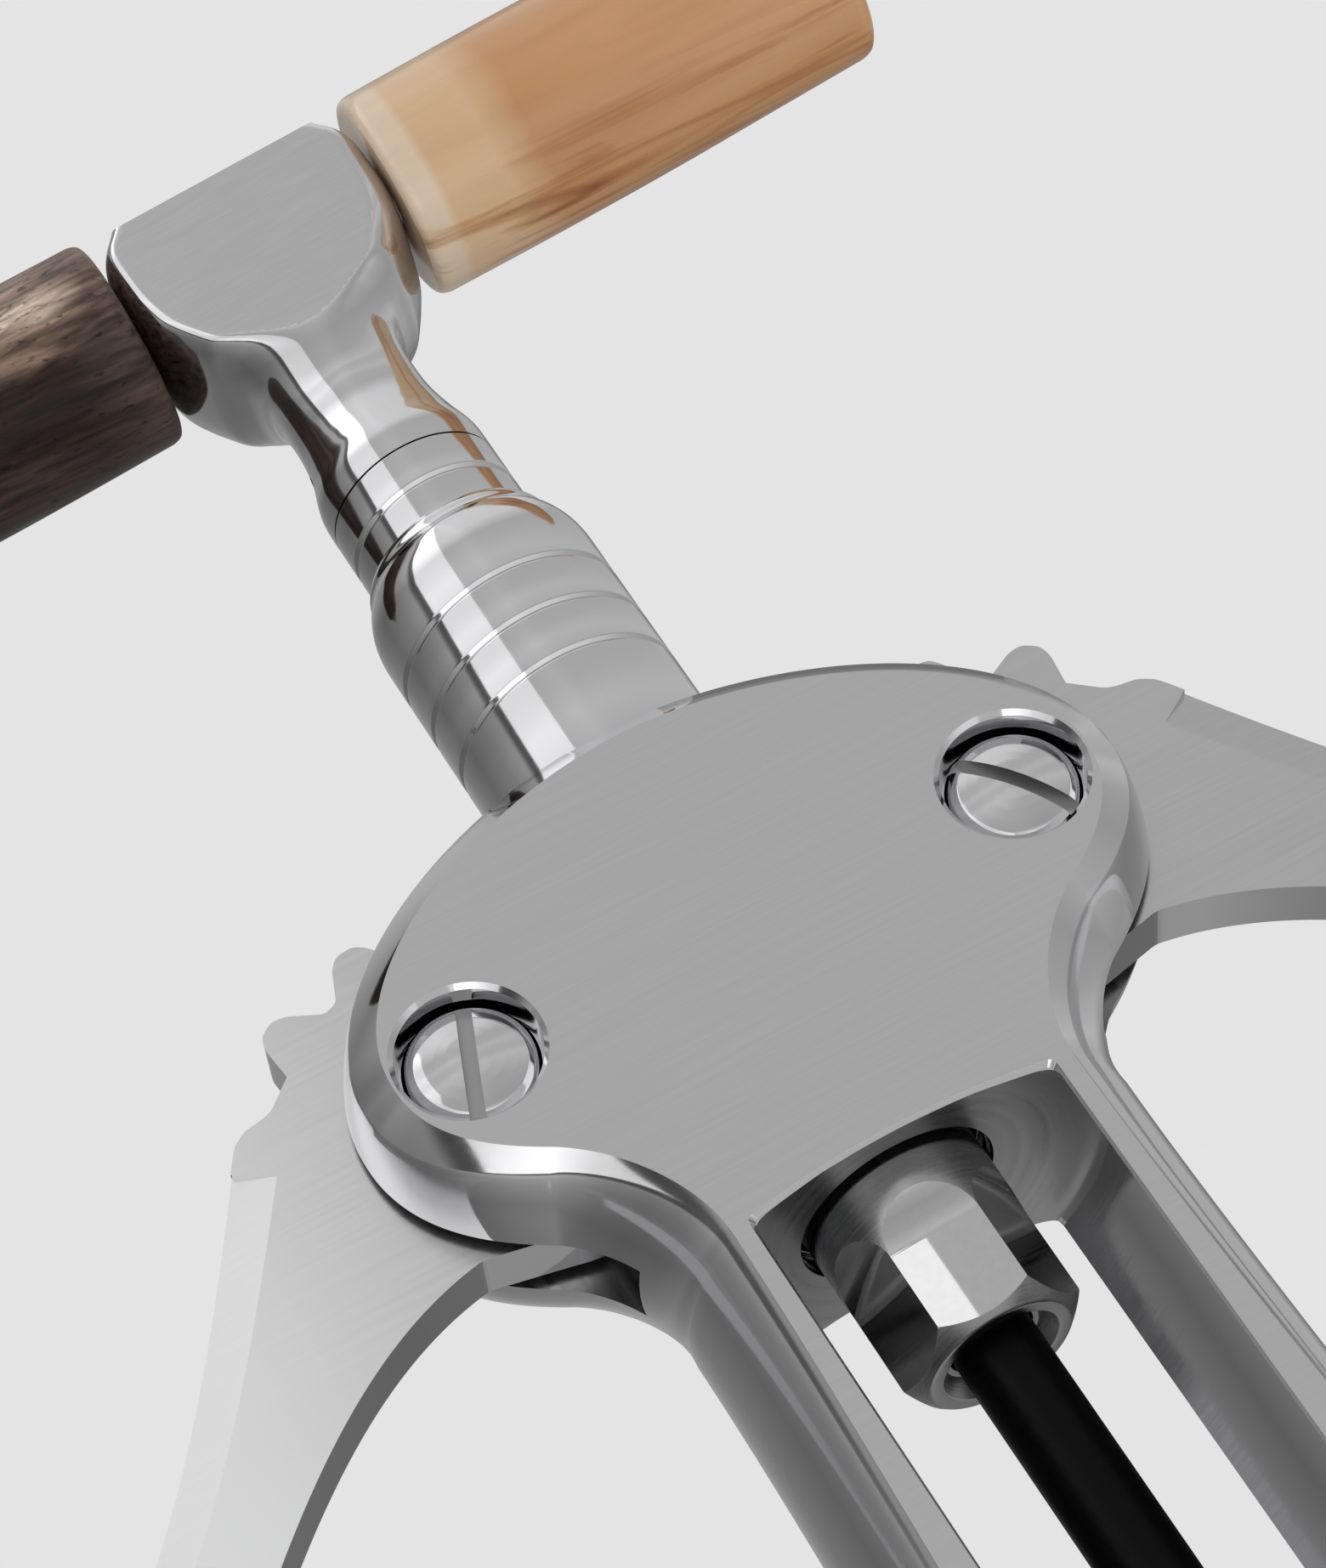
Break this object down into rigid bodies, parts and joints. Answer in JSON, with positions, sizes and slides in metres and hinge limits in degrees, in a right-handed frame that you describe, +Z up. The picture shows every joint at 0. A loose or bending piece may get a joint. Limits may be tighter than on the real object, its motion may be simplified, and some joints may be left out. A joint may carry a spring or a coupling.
{
  "type": "lever corkscrew",
  "caption": "Lever corkscrew: steel frame with a bell foot, geared side levers, a sliding rack with a turning spindle and coated worm, and a horn T-handle.",
  "frame": {"origin": "centre of the bell's foot, where the bottle goes in", "axes": "+Z up the worm axis towards the handle, +X towards the right lever (blonde grip), front at -Y"},
  "size_m": [0.1886, 0.038, 0.1865],
  "materials": {
    "satin_steel": "fine brushed satin faces with polished bevels",
    "lever_steel": "fine brushed satin faces with polished edges",
    "polished_steel": "mirror polished",
    "turned_steel": "fine turned",
    "bronze": "machined bearing bronze",
    "worm_coating": "satin black non-stick coating on steel",
    "blonde_horn": "polished translucent blonde horn",
    "dark_horn": "polished dark brown horn"
  },
  "bodies": {
    "frame_body": {"frame": "satin_steel", "collar_bush": "polished_steel", "pivot_screw_left": "polished_steel", "pivot_nut_left": "polished_steel", "washer_front_left": "bronze", "washer_back_left": "bronze", "pivot_screw_right": "polished_steel", "pivot_nut_right": "polished_steel", "washer_front_right": "bronze", "washer_back_right": "bronze"},
    "lever_left_body": {"lever_left": "lever_steel", "lever_bush_left": "bronze"},
    "lever_right_body": {"lever_right": "lever_steel", "lever_bush_right": "bronze"},
    "rack_body": {"rack_sleeve": "turned_steel"},
    "handle_body": {"spindle": "polished_steel", "thrust_washer_upper": "bronze", "thrust_washer_lower": "bronze", "worm_ferrule": "turned_steel", "worm": "worm_coating", "handle_hub": "polished_steel", "hub_pin": "turned_steel", "handle_rod": "turned_steel", "grip_left": "dark_horn", "grip_right": "blonde_horn"}
  },
  "joints": [
    {"name": "rack_slide", "type": "slide", "parent": "frame_body", "child": "rack_body", "axis": [0, 0, 1], "range_m": [-0.0172, 0.01061]},
    {"name": "handle_turn", "type": "hinge", "parent": "rack_body", "child": "handle_body", "pos_m": [0, 0, 0.178], "axis": [0, 0, 1], "continuous": true},
    {"name": "lever_left_swing", "type": "hinge", "parent": "frame_body", "child": "lever_left_body", "pos_m": [-0.021, 0, 0.102], "axis": [0, 1, 0], "range_deg": [-40.5, 65.5]},
    {"name": "lever_right_swing", "type": "hinge", "parent": "frame_body", "child": "lever_right_body", "pos_m": [0.021, 0, 0.102], "axis": [0, -1, 0], "range_deg": [-40.5, 65.5]}
  ],
  "couplings": [
    {"joint": "lever_left_swing", "follows": "rack_slide", "rad_per_m": -65.79},
    {"joint": "lever_right_swing", "follows": "rack_slide", "rad_per_m": -65.79}
  ]
}
